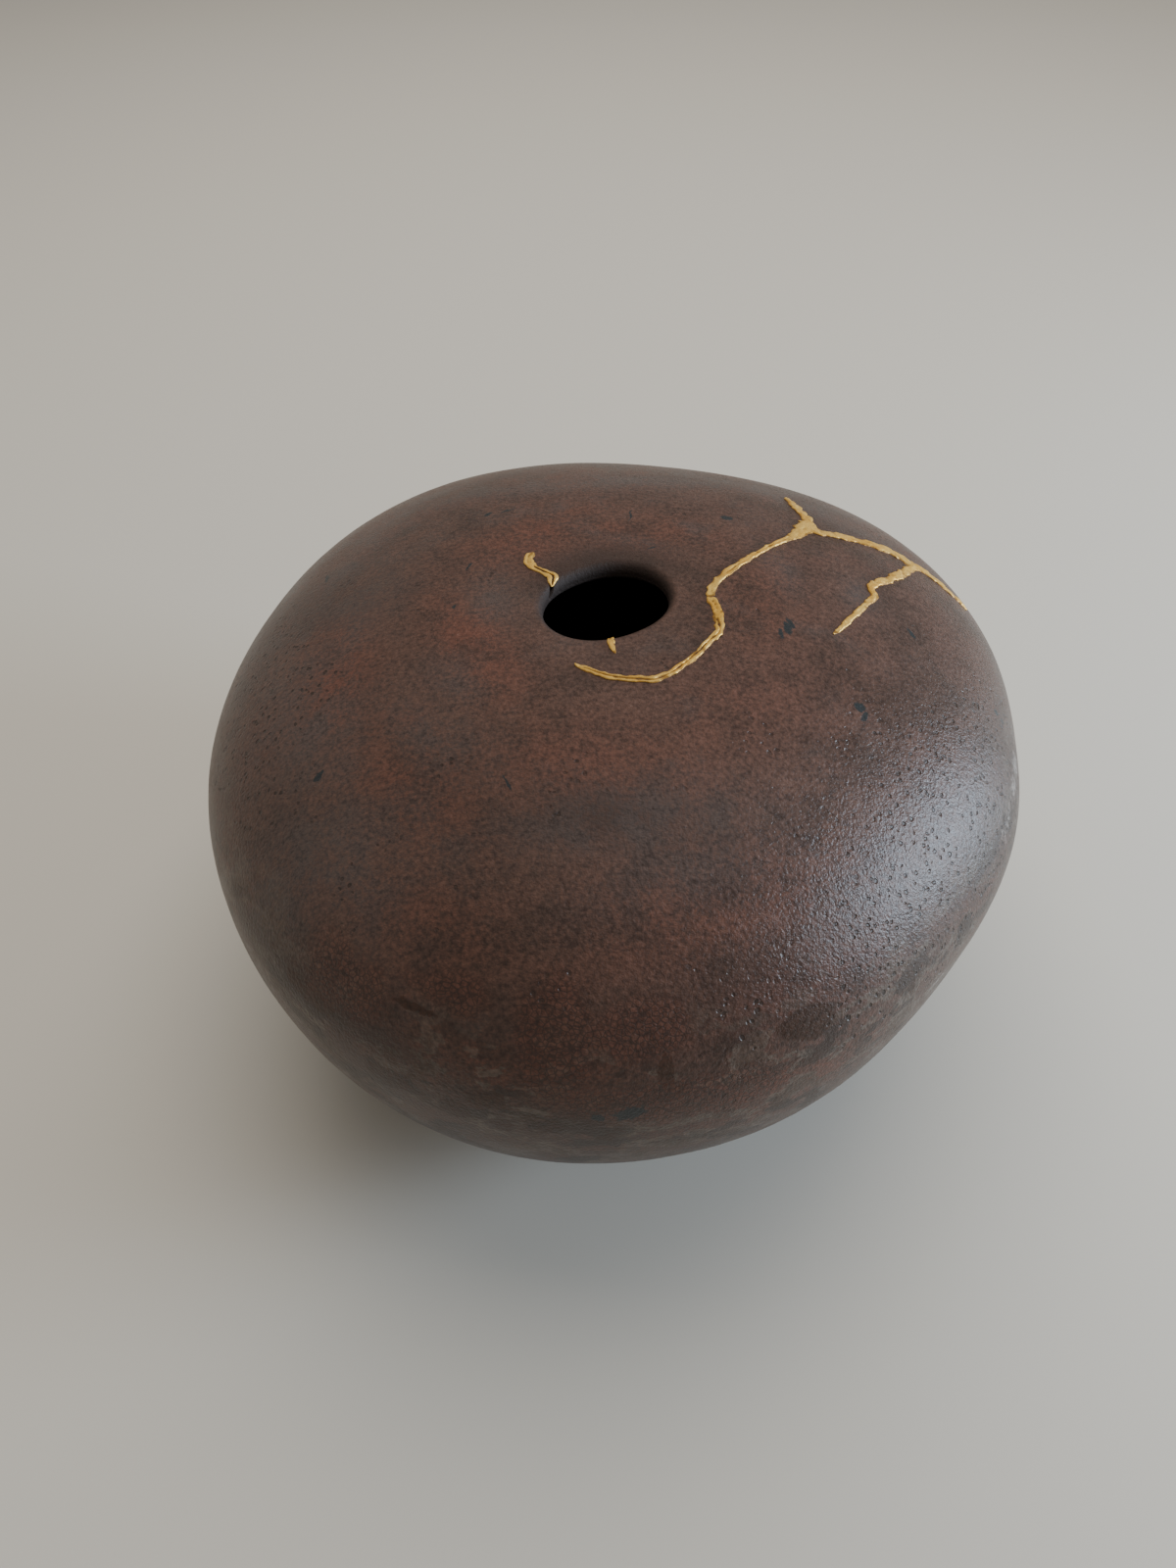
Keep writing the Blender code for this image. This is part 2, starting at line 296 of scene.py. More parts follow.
class Finish:
    # A material and its nodes.
    def __init__(self, name):
        self.material = bpy.data.materials.new(name)
        self.material.use_nodes = True
        self.tree = self.material.node_tree
        self.shader = self.tree.nodes["Principled BSDF"]
        self.place = self.node("ShaderNodeTexCoord", {}, {}, "Object")

    def node(self, kind, settings, values, output=0):
        made = self.tree.nodes.new(kind)
        for name, value in settings.items():
            if name == "stops":
                ramp = made.color_ramp.elements
                while len(ramp) < len(value):
                    ramp.new(0.5)
                for element, (at, colour) in zip(ramp, value):
                    element.position = at
                    element.color = (*colour, 1)
            else:
                setattr(made, name, value)
        for name, value in values.items():
            if isinstance(value, Tone):
                self.tree.links.new(value.socket, made.inputs[name])
            else:
                made.inputs[name].default_value = value
        return Tone(self, made.outputs[output])

    def noise(self, place, size, detail=3, roughness=0.55, seed=0):
        # Blender's noise with its cell size in metres; a seed moves the place aside.
        if seed:
            place = self.node("ShaderNodeVectorMath", {"operation": "ADD"}, {0: place, 1: (seed, seed * 0.37, 0)})
        return self.node("ShaderNodeTexNoise", {}, {
            "Vector": place, "Scale": 1 / size, "Detail": detail, "Roughness": roughness})

    def cells(self, place, size, feature="F1", output="Distance"):
        return self.node("ShaderNodeTexVoronoi", {"feature": feature}, {"Vector": place, "Scale": 1 / size}, output)

    def step(self, value, start, end):
        # From 0 at the start to 1 at the end, with level ends.
        return self.node("ShaderNodeMapRange", {"interpolation_type": "SMOOTHSTEP"}, {
            "Value": value, "From Min": start, "From Max": end})

    def mix(self, share, first, second, blend="MIX"):
        colours = [c if isinstance(c, Tone) else (*c, 1) for c in (first, second)]
        return self.node("ShaderNodeMix", {"data_type": "RGBA", "blend_type": blend}, {
            "Factor": share, 6: colours[0], 7: colours[1]}, 2)

    def more(self, first, second):
        return self.node("ShaderNodeMath", {"operation": "MAXIMUM"}, {0: first, 1: second})

    def tone(self, name):
        return self.node("ShaderNodeAttribute", {"attribute_name": name}, {}, "Fac")

    def spread(self, place, across, up):
        # Coordinates pressed or drawn out, so that a pattern is longer one way.
        return self.node("ShaderNodeVectorMath", {"operation": "MULTIPLY"}, {0: place, 1: (across, across, up)})

    def shake(self, place, size, amount):
        # Coordinates that wander by up to this amount, for ragged edges.
        wander = self.node("ShaderNodeTexNoise", {}, {"Vector": place, "Scale": 1 / size, "Detail": 2}, "Color")
        centred = self.node("ShaderNodeVectorMath", {"operation": "SUBTRACT"}, {0: wander, 1: (0.5, 0.5, 0.5)})
        scaled = self.node("ShaderNodeVectorMath", {"operation": "SCALE"}, {0: centred, "Scale": 2 * amount})
        return self.node("ShaderNodeVectorMath", {"operation": "ADD"}, {0: place, 1: scaled})

    def spot(self, place, azimuth, station, across, up, turn=0, depth=0.006):
        # The distance from a place on the skin, in half widths of a turned ellipse: 1 on its edge.
        centre, level, rise, outward = spotOnSkin(azimuth, station)
        angle = math.radians(turn)
        first = level * math.cos(angle) + rise * math.sin(angle)
        second = np.cross(outward, first)
        frameOfSpot = Matrix(np.stack([first, second, outward], axis=1).tolist())
        local = self.node("ShaderNodeMapping", {"vector_type": "TEXTURE"}, {
            "Vector": place, "Location": centre.tolist(), "Rotation": frameOfSpot.to_euler(),
            "Scale": (across / 2, up / 2, depth)})
        return self.node("ShaderNodeVectorMath", {"operation": "LENGTH"}, {0: local}, "Value")

    def bump(self, height, strength, distance):
        return self.node("ShaderNodeBump", {}, {"Strength": strength, "Distance": distance, "Height": height})

    def set(self, **values):
        for name, value in values.items():
            socket = self.shader.inputs[name.replace("_", " ")]
            if isinstance(value, Tone):
                self.tree.links.new(value.socket, socket)
            else:
                socket.default_value = value


# The clay body

def bodyOutline():
    # Radii, heights and stations from the foot's middle out over the belly to the lip,
    # round its half circle, and down the hollow: the outside moved in by the wall.
    # The foot's edge is a bend through three points, and the rows of the bowl start clear of it.
    ease, wall, fineFrom, rows = vase["footEase"], vase["wall"], vase["fineFrom"], vase["rows"]
    footFlat, footTurn, footEdge = (vase["footRadius"] + way for way in (-ease / 2, ease / 3, ease))
    part = np.linspace(0, 1, rows["bend"] + 1)[1:]
    footOut = (np.linspace(0.06, 1, rows["foot"]) * footFlat, np.zeros(rows["foot"]))
    bend = ((1 - part) ** 2 * footFlat + 2 * (1 - part) * part * footTurn + part ** 2 * footEdge,
            part ** 2 * bowlHeight(footEdge))
    outside = np.concatenate([
        np.linspace(-87.5, fineFrom, rows["bowl"], endpoint=False), np.linspace(fineFrom, 90, rows["top"])])
    r, z = plainSkin(outside)
    clear = (r > footEdge + ease / 5) | (outside > -60)
    outside, r, z = outside[clear], r[clear], z[clear]
    turn = np.radians(np.linspace(0, 180, rows["lip"] + 1)[1:])
    lip = (crestRadius - wall / 2 * np.sin(turn), domeHeight(crestRadius) - wall / 2 * (1 - np.cos(turn)))
    inner = np.concatenate([
        np.linspace(88.5, 0, rows["ceiling"], endpoint=False), np.linspace(0, -89, rows["basin"])])
    innerR, innerZ = plainSkin(inner)
    ahead, behind = plainSkin(inner + nudge), plainSkin(inner - nudge)
    run, rise = ahead[0] - behind[0], ahead[1] - behind[1]
    length = np.hypot(run, rise)
    innerR, innerZ = innerR - wall * rise / length, innerZ + wall * run / length
    keep = innerZ > vase["floor"] + wall / 2
    innerR, innerZ = innerR[keep], innerZ[keep]
    corner = innerR[-1] - wall
    floor = (np.concatenate([[corner + wall / 3], np.linspace(1, 0.1, rows["floor"]) * corner]),
             np.concatenate([[vase["floor"] + wall / 8], np.full(rows["floor"], vase["floor"])]))
    parts = (footOut, bend, (r, z), lip, (innerR, innerZ), floor)
    stations = np.concatenate([
        np.full(len(footOut[0]) + len(bend[0]), -90), outside, 90 + np.degrees(turn),
        np.full(len(innerR) + len(floor[0]), vase["hollow"])])
    return (*(np.concatenate([p[i] for p in parts]) for i in (0, 1)), stations)


def nearness(points, route, reach, steps=90):
    # 1 on a route over the skin and 0 at this reach from it: a fade of the least distance to its points.
    azimuth, station = np.array(route, dtype=float).T
    at = np.linspace(0, len(azimuth) - 1, steps)
    line = skin(np.interp(at, range(len(azimuth)), azimuth), np.interp(at, range(len(station)), station))
    near = np.flatnonzero(np.all((points > line.min(0) - reach) & (points < line.max(0) + reach), axis=-1))
    least = np.full(len(points), reach * 2)
    least[near] = np.linalg.norm(points[near, None] - line[None], axis=-1).min(axis=1)
    return fade(1 - least / reach)


patina = {                     # azimuth, station, reach across and up in metres, and strength
    "rust": (
        (123, 81, 0.030, 0.016, 0.7), (194, 58, 0.022, 0.012, 0.9), (206, 80, 0.030, 0.012, 0.8),
        (264, 69, 0.040, 0.016, 0.5), (246, 40, 0.026, 0.014, 0.45), (282, 44, 0.045, 0.016, 0.5),
        (232, 58, 0.026, 0.016, 0.6), (258, 17, 0.034, 0.010, 0.7), (284, 4, 0.036, 0.012, 0.9),
        (292, 26, 0.040, 0.014, 0.5), (76, 84, 0.026, 0.010, 0.6), (308, 71, 0.036, 0.018, 0.4),
        (54, 80, 0.020, 0.010, 0.5), (356, 78, 0.030, 0.016, 0.5), (330, 66, 0.040, 0.020, 0.2),
        (120, 30, 0.050, 0.020, 0.5), (40, 10, 0.040, 0.018, 0.5), (80, -20, 0.050, 0.016, 0.5),
    ),
    # Grey ash mottling; the zones on the left also hold a painted bluish sheen, a reflection of a second window.
    "ash": (
        (227, 40, 0.026, 0.022, 0.9), (221, 25, 0.016, 0.014, 0.8), (210, 45, 0.018, 0.012, 0.5),
        (272, 60, 0.036, 0.012, 0.8), (280, 52, 0.030, 0.012, 0.5), (218, 73, 0.016, 0.010, 0.5),
        (177, 84, 0.016, 0.010, 0.6), (96, 66, 0.070, 0.008, 0.8), (54, 56, 0.060, 0.008, 0.7),
        (149, 53, 0.050, 0.012, 0.6), (189, 46, 0.040, 0.012, 0.6), (5, 62, 0.010, 0.006, 0.8),
        (15, 74, 0.012, 0.006, 0.7), (66, 86, 0.012, 0.004, 0.6),
        (203, 50, 0.044, 0.020, 0.7), (170, 62, 0.040, 0.014, 0.6), (225, 66, 0.030, 0.012, 0.6),
        (236, 52, 0.026, 0.014, 0.5), (160, 30, 0.040, 0.020, 0.6),
    ),
    "smoke": (
        (235, 15, 0.040, 0.006, 0.9), (243, 3, 0.050, 0.008, 0.4),
        (275, 7, 0.024, 0.008, 0.5), (268, 61, 0.020, 0.008, 0.6), (285, 30, 0.050, 0.010, 0.3),
        # The three past the lip's crest are painted shade on the far lip's inner roll, which turns away from the light.
        (95, 104, 0.020, 0.008, 1.0), (62, 100, 0.014, 0.006, 0.9), (130, 104, 0.014, 0.007, 0.9),
    ),
    "scorch": (
        (290.5, 18, 0.0090, 0.0056, 1.0), (274.3, 16, 0.0024, 0.0060, 1.0), (276, 11, 0.0026, 0.0032, 1.0),
        (243, 3, 0.0075, 0.0048, 1.0), (251.5, 2, 0.0050, 0.0048, 1.0), (255, 8, 0.0070, 0.0036, 1.0),
        (256.6, 0, 0.0036, 0.0040, 1.0), (232, 14, 0.0130, 0.0036, 1.0), (246, 25, 0.0100, 0.0022, 0.8),
        (60, 12, 0.0090, 0.0060, 1.0), (118, 20, 0.0110, 0.0044, 1.0), (172, 8, 0.0080, 0.0050, 1.0),
        (20, -20, 0.0100, 0.0050, 1.0), (205, -14, 0.0090, 0.0044, 1.0), (94, -30, 0.0100, 0.0060, 1.0),
    ),
    # Painted highlight: pale streaks on the right rim and the lower right edge, standing in for the window's grazing
    # reflection.
    "scuff": ((341, 17.2, 0.0220, 0.0046, 0.60), (314, -2, 0.0130, 0.0020, 0.7)),
    "pinholes": (
        (326, 32, 0.034, 0.020, 1.0), (312, 24, 0.040, 0.018, 0.7), (340, 30, 0.030, 0.016, 0.7),
        (190, 40, 0.050, 0.020, 0.5), (130, 30, 0.050, 0.020, 0.5), (60, 40, 0.050, 0.020, 0.5),
    ),
    "crackle": (
        (262, 24, 0.012, 0.018, 1.0), (272, 26, 0.016, 0.010, 0.8), (276, 8, 0.034, 0.008, 1.0),
        (236, 22, 0.020, 0.012, 0.8), (250, 30, 0.016, 0.008, 0.7),
        (150, 10, 0.030, 0.014, 0.8), (60, -14, 0.040, 0.014, 0.7), (200, 40, 0.030, 0.016, 0.3),
    ),
}


def patinaTone(points, zones, depth=0.02):
    # A bell over each zone, of the distance across and up the skin in shares of its reach; the highest wins.
    tone = np.zeros(len(points))
    for azimuth, station, across, up, strength in zones:
        centre, level, rise, outward = spotOnSkin(azimuth, station)
        away = points - centre
        far = (away @ level / across) ** 2 + (away @ rise / up) ** 2 + (away @ outward / depth) ** 2
        tone = np.maximum(tone, strength * np.exp(-far))
    return tone


def bodyMesh():
    # The outline turned round the axis, moved out by the ripples and in by the crack.
    r, z, station = bodyOutline()
    azimuth = np.arange(vase["steps"]) * 360 / vase["steps"]
    points = placed(r[:, None], z[:, None], azimuth[None])
    rows, columns = points.shape[:2]
    around = np.roll(points, -1, axis=1) - np.roll(points, 1, axis=1)
    along = np.gradient(points, axis=0)
    outward = unit(np.cross(around, along))
    flat = points.reshape(-1, 3)
    worn = ripple(flat).reshape(rows, columns)
    outer = (station > -90) & (station < vase["throatEnd"])
    worn = worn * fade((station + 90) / vase["footFade"])[:, None] * outer[:, None]
    crack = nearness(flat, vase["crack"], vase["crackWidth"]).reshape(rows, columns)
    crack = crack * (station > vase["crackFrom"])[:, None]
    points = points + outward * (worn - vase["crackDepth"] * crack)[..., None]
    footMiddle, floorMiddle = rows * columns, rows * columns + 1
    whole = np.concatenate([points.reshape(-1, 3), [[0, 0, 0], [0, 0, vase["floor"]]]])
    quads = ringGrid(rows, columns)
    ring = np.arange(columns)
    fans = np.concatenate([fanOf(ring, footMiddle, True), fanOf(ring + (rows - 1) * columns, floorMiddle, False)])
    mesh = makeMesh("vaseBody", whole, quads, fans)
    for name, zones in patina.items():
        setTone(mesh, name, patinaTone(whole, zones))
    setTone(mesh, "crack", np.append(crack.ravel(), [0, 0]))
    # Painted shade down the throat: 0 at the lip's crest and 1 deep inside. It also makes the skin rougher there.
    inside = np.repeat(fade((station - 90) / vase["lipFade"]), columns)
    setTone(mesh, "inside", np.append(inside, [0, 1]))
    return mesh


stoneware = {
    "chocolate": (0.080, 0.045, 0.035),
    "umber": (0.062, 0.037, 0.029),
    "rust": (0.115, 0.041, 0.027),
    "ash": (0.094, 0.076, 0.072),
    "slip": (0.120, 0.094, 0.076),
    # Smoke marks and smoked crackle, and also painted shade on the far lip, in the pinholes and down the throat.
    "smoke": (0.028, 0.019, 0.016),
    # dark nicks, and painted shade in the open crack
    "nickAndCrackShade": (0.015, 0.024, 0.028),
    "scorch": (0.040, 0.018, 0.011),
    # pale: the colour of the painted highlight on the rim
    "pale": (0.36, 0.33, 0.31),
    "broad": 0.050,            # sizes of three clouds of tone
    "middling": 0.012,
    "fine": 0.0013,
    "streaks": (50, 120),      # brush marks to a metre, along and up the wall
    "wander": (0.004, 0.0011),     # size and reach of the wander of a ragged edge
    "brushed": (0.142, 0.112),     # heights between which the brushed lower part starts
    "grain": 0.0010,           # one bump of the leathery skin
    "lump": 0.0030,            # one of its larger, lower bumps
    "grainHeight": 0.00015,
    "pitGap": 0.0027,          # between two pinholes
    "crackleGap": 0.0016,      # between two lines of the fine net of cracks
    "sheen": 0.46,
    "satin": 0.37,
    "nicks": (                 # azimuth, station, across, up and turn
        (47, 72.3, 0.0045, 0.0030, 20), (347, 73.5, 0.0056, 0.0020, 25), (344.8, 73.8, 0.0052, 0.0026, 25),
        (341.6, 74.7, 0.0056, 0.0016, 20), (329, 58.2, 0.0030, 0.0040, 15), (327.5, 56.6, 0.0042, 0.0022, 0),
        (357, 52, 0.0050, 0.0018, 40), (350.6, 28, 0.0022, 0.0026, 0), (350.4, 25, 0.0018, 0.0022, 0),
        (126, 70.7, 0.0034, 0.0018, 20), (120.5, 72, 0.0050, 0.0010, 0), (158, 48, 0.0080, 0.0012, 25),
        (155, 78.3, 0.0046, 0.0010, -20), (181, 78.4, 0.0022, 0.0010, -30), (214, 47.8, 0.0020, 0.0044, 10),
        (248, 64.2, 0.0060, 0.0007, -45), (78, 78.5, 0.0006, 0.0090, 0), (59, 86.4, 0.0034, 0.0009, 50),
        (270.4, 6, 0.0090, 0.0050, 20), (267, 5, 0.0040, 0.0026, -20),
    ),
}


def stonewareFinish():
    # Layers from the plain clay up: rust, ash that also holds a painted sheen, brushed slip, smoke that also holds
    # painted shade on the far lip, scorched patches, a painted highlight on the rim, crackle, speckle that also holds
    # painted shade of the grain, pinholes and the crack with painted shade, nicks, and painted shade down the throat,
    # each with an edge made ragged by the finer clouds.
    clay = Finish("stoneware")
    place = clay.place
    streaky = clay.spread(place, *stoneware["streaks"])
    ragged = clay.shake(place, *stoneware["wander"])
    broad = clay.noise(place, stoneware["broad"], 2, 0.6)
    middling = clay.noise(place, stoneware["middling"], 3, 0.62, seed=3)
    fine = clay.noise(place, stoneware["fine"], 3, 0.65, seed=5)
    streak = clay.noise(streaky, 1, 3, 0.65, seed=2)
    brush = clay.noise(streaky, 0.7, 3, 0.65, seed=8)
    low = clay.step(clay.node("ShaderNodeSeparateXYZ", {}, {0: place}, "Z"), *stoneware["brushed"])
    grit = fine + 0.9 * (middling - 0.5)
    colour = clay.mix(clay.step(broad + 0.8 * (middling - 0.5), 0.34, 0.60), stoneware["umber"], stoneware["chocolate"])
    rust = clay.more(clay.tone("rust"), clay.step(clay.noise(place, 0.034, 3, 0.6, seed=9), 0.54, 0.76) * 0.35)
    colour = clay.mix(rust * (0.30 + 0.55 * clay.step(grit, 0.32, 0.66)), colour, stoneware["rust"])
    # Grey ash, which on the left also stands in for a painted bluish sheen.
    ash = clay.more(clay.tone("ash"), clay.step(clay.noise(place, 0.022, 3, 0.62, seed=14), 0.50, 0.78) * 0.5)
    colour = clay.mix(ash * (0.25 + 0.60 * clay.step(1 - grit, 0.34, 0.64)), colour, stoneware["ash"])
    colour = clay.mix(low * clay.step(brush + 0.35 * (middling - 0.5), 0.50, 0.56) * 0.85, colour, stoneware["slip"])
    smoke = clay.more(clay.tone("smoke"), low * clay.step(streak + 0.3 * (middling - 0.5), 0.54, 0.58) * 0.95)
    colour = clay.mix(smoke * (0.45 + 0.5 * clay.step(grit, 0.34, 0.60)), colour, stoneware["smoke"])
    scorch = clay.step(clay.tone("scorch") + 0.9 * (middling - 0.5) + 0.5 * (fine - 0.5), 0.42, 0.48)
    colour = clay.mix(scorch * 0.9, colour, stoneware["scorch"])
    blotch = low * clay.step(0.5 * middling + 0.5 * brush + 0.15 * (fine - 0.5), 0.545, 0.570)
    colour = clay.mix(blotch * 0.65, colour, stoneware["scorch"])
    # Painted highlight along the rim, in the pale colour.
    scuff = clay.step(clay.tone("scuff") + 1.2 * (middling - 0.5) + 0.9 * (fine - 0.5), 0.36, 0.62)
    colour = clay.mix(scuff * 0.45, colour, stoneware["pale"])
    pitted = (clay.step(clay.cells(ragged, stoneware["pitGap"]), 0.29, 0.17)
              * clay.step(clay.tone("pinholes") + clay.noise(place, 0.020, 1, 0.5, seed=21), 0.52, 0.80))
    webbed = clay.step(clay.tone("crackle") + 0.6 * (middling - 0.5), 0.25, 0.60)
    crackle = clay.step(clay.cells(place, stoneware["crackleGap"], "DISTANCE_TO_EDGE"), 0.13, 0.05) * webbed
    colour = clay.mix(webbed * 0.40, colour, stoneware["rust"])
    # Random speckle, which also stands in for painted shade of the leathery grain.
    speckleAndGrainShade = clay.node("ShaderNodeValToRGB", {
        "stops": ((0.32, (0.56, 0.56, 0.58)), (0.68, (1.44, 1.44, 1.42))),
    }, {0: fine + 0.25 * (middling - 0.5)})
    colour = clay.mix(0.95, colour, speckleAndGrainShade, "MULTIPLY")
    # Painted shade in the pinholes: the pits are darkened as well as sunk.
    colour = clay.mix(pitted * 0.85, colour, stoneware["smoke"])
    colour = clay.mix(crackle * 0.65, colour, stoneware["smoke"])
    # Dark nicks, and painted shade in the open crack by the mouth.
    nickAndCrackShade = clay.tone("crack")
    for azimuth, station, across, up, turn in stoneware["nicks"]:
        away = clay.spot(ragged, azimuth, station, across, up, turn) + 1.2 * (fine - 0.5)
        nickAndCrackShade = clay.more(nickAndCrackShade, clay.step(away, 1.10, 0.75))
    colour = clay.mix(nickAndCrackShade * 0.9, colour, stoneware["nickAndCrackShade"])
    # Painted shade down the inside of the mouth.
    inside = clay.tone("inside")
    colour = clay.mix(inside * 0.85, colour, stoneware["smoke"])
    leather = clay.noise(place, stoneware["grain"], 3, 0.6, seed=31)
    height = (2.2 * leather + 0.4 * clay.noise(place, stoneware["lump"], 0, 0.5, seed=30)
              - 1.8 * pitted - 0.2 * crackle - clay.tone("crack"))
    roughness = stoneware["satin"] + 0.20 * (fine - 0.5) + 0.16 * (middling - 0.5) + 0.4 * inside
    clay.set(Base_Color=colour, Roughness=roughness, Metallic=0, Specular_IOR_Level=stoneware["sheen"],
             Normal=clay.bump(height, 1.0, stoneware["grainHeight"]))
    return clay.material


body = addPiece("vaseBody", bodyMesh(), stonewareFinish(), "vase_body")
print("vaseBody:", len(body.data.polygons), "faces")


# The gold mends

gold = {
    "width": 0.0030,
    "depth": 0.0009,           # under the clay's skin
    "rise": 0.0005,
    "step": 0.00025,           # along a line
    "columns": 19,             # across the top of a line
    "voxel": 0.00020,
    "ragged": ((0.0034, 0.20), (0.0013, 0.32)),       # size and share of the half width
    "wrinkles": ((0.0012, 0.00026), (0.0006, 0.00012)),    # size and height
    "crown": (5, 0.8),         # powers of the distance across and of what it leaves
    "tip": (0.0011, 0.12),     # length over which an end rounds off, and where it starts
    "drawn": (0.55, 1, 1),     # wrinkles are longer along the line than across it
    "tucked": 0.8,             # width of the hidden base as a share of the top's
    "furrow": 0.19,            # a furrow's half width as a share of the line's
    "furrowWander": (0.006, 0.25),     # the size of its wander, and its reach as a share
    "furrowEase": 0.6,         # how much of a route's point it takes to start and to end
    "flake": 0.0009,           # size of the bumps of a rough part
    "roughEase": 0.4,
    "breakDepth": 0.0006,
    "slit": (0.1, 0.16, 1.6),      # place and softness across, as shares of the half width, and fill
    "slitEase": 0.5,
    "blob": (33, 62.4),
    "fork": (20, 43.5),
}
longLine = (                   # azimuth, station and share of the usual width
    (-108, 85.2, 0.40), (-101, 84.6, 0.75), (-89.5, 83.3, 0.85), (-77, 82.2, 1.00),
    (-73, 81.8, 1.20), (-67.5, 81.8, 0.95), (-54, 82.5, 0.90), (-36.5, 83.1, 0.85),
    (-27, 83.0, 1.00), (-19.5, 83.8, 1.25), (-13, 84.4, 1.20), (-2, 85.4, 1.05),
    (6, 85.0, 1.00), (12, 83.8, 1.00), (17, 81.7, 1.00), (21.5, 78.7, 0.85),
    (25, 75.2, 0.75), (27.2, 72.2, 0.75), (28.7, 69.1, 0.90), (30.5, 65.8, 1.70),
    (*gold["blob"], 2.50), (34.5, 61.0, 1.60),
)
spike = ((*gold["blob"], 1.70), (36.5, 60.1, 1.40), (39.5, 59.1, 1.30), (43, 57.1, 1.10), (46.5, 55.1, 0.80))
shoulderBranch = (
    (*gold["blob"], 1.90), (30, 61.9, 1.60), (28.5, 59.4, 1.50), (25.5, 52.8, 1.50),
    (23, 46.4, 2.00), (*gold["fork"], 1.80), (19.2, 42.5, 1.50),
)
hook = (
    (*gold["fork"], 1.40), (16, 49.6, 1.20), (12.5, 54.3, 1.15), (10.5, 57.5, 1.10),
    (8.6, 58.9, 1.00), (6, 58.8, 0.95), (3, 60.3, 0.80), (-1.5, 62.4, 0.80),
    (-5.5, 64.1, 0.75), (-10, 65.7, 0.60), (-12.5, 66.6, 0.30),
)
thinRun = (
    (*gold["fork"], 1.40), (20, 41.5, 1.30), (18.5, 38.3, 1.20), (16.5, 34.8, 1.10),
    (15, 30.3, 1.00), (14, 28.5, 0.60),
)
leftLine = (
    (131.5, 84.5, 0.70), (136, 84.9, 1.10), (140, 85.7, 1.15), (142, 87.0, 1.10),
    (142.5, 88.4, 1.15), (144, 94.0, 1.05), (147, 108, 0.95), (151, 125, 0.80), (154, 135, 0.45),
)
frontDrop = ((-87, 130, 0.80), (-88, 105, 0.85), (-88, 89.4, 0.85), (-87, 88.5, 0.60), (-86, 87.5, 0.25))


def follow(points):
    # Places, outward ways, widths and counts along a smooth curve through a route's points:
    # a cubic between each two, with the mean slope at each.
    azimuth, station, share = np.array(points, dtype=float).T
    places = claySkin(azimuth, station)
    reach = np.concatenate([[0], np.cumsum(np.linalg.norm(np.diff(places, axis=0), axis=1))])
    values = np.column_stack([places, skinNormal(azimuth, station), share])
    slopes = np.gradient(values, reach, axis=0)
    at = np.linspace(0, reach[-1], round(reach[-1] / gold["step"]) + 1)
    leg = np.clip(np.searchsorted(reach, at, side="right") - 1, 0, len(reach) - 2)
    span = (reach[leg + 1] - reach[leg])[:, None]
    part = (at - reach[leg])[:, None] / span
    square, cube = part ** 2, part ** 3
    curve = ((2 * cube - 3 * square + 1) * values[leg] + (cube - 2 * square + part) * span * slopes[leg]
             + (3 * square - 2 * cube) * values[leg + 1] + (cube - square) * span * slopes[leg + 1])
    return curve[:, :3], unit(curve[:, 3:6]), curve[:, 6], leg + part[:, 0], at


def between(count, start, end, ease):
    # 1 between two counts along a route, fading to 0 at both.
    return fade((count - start) / ease) * fade((end - count) / ease)


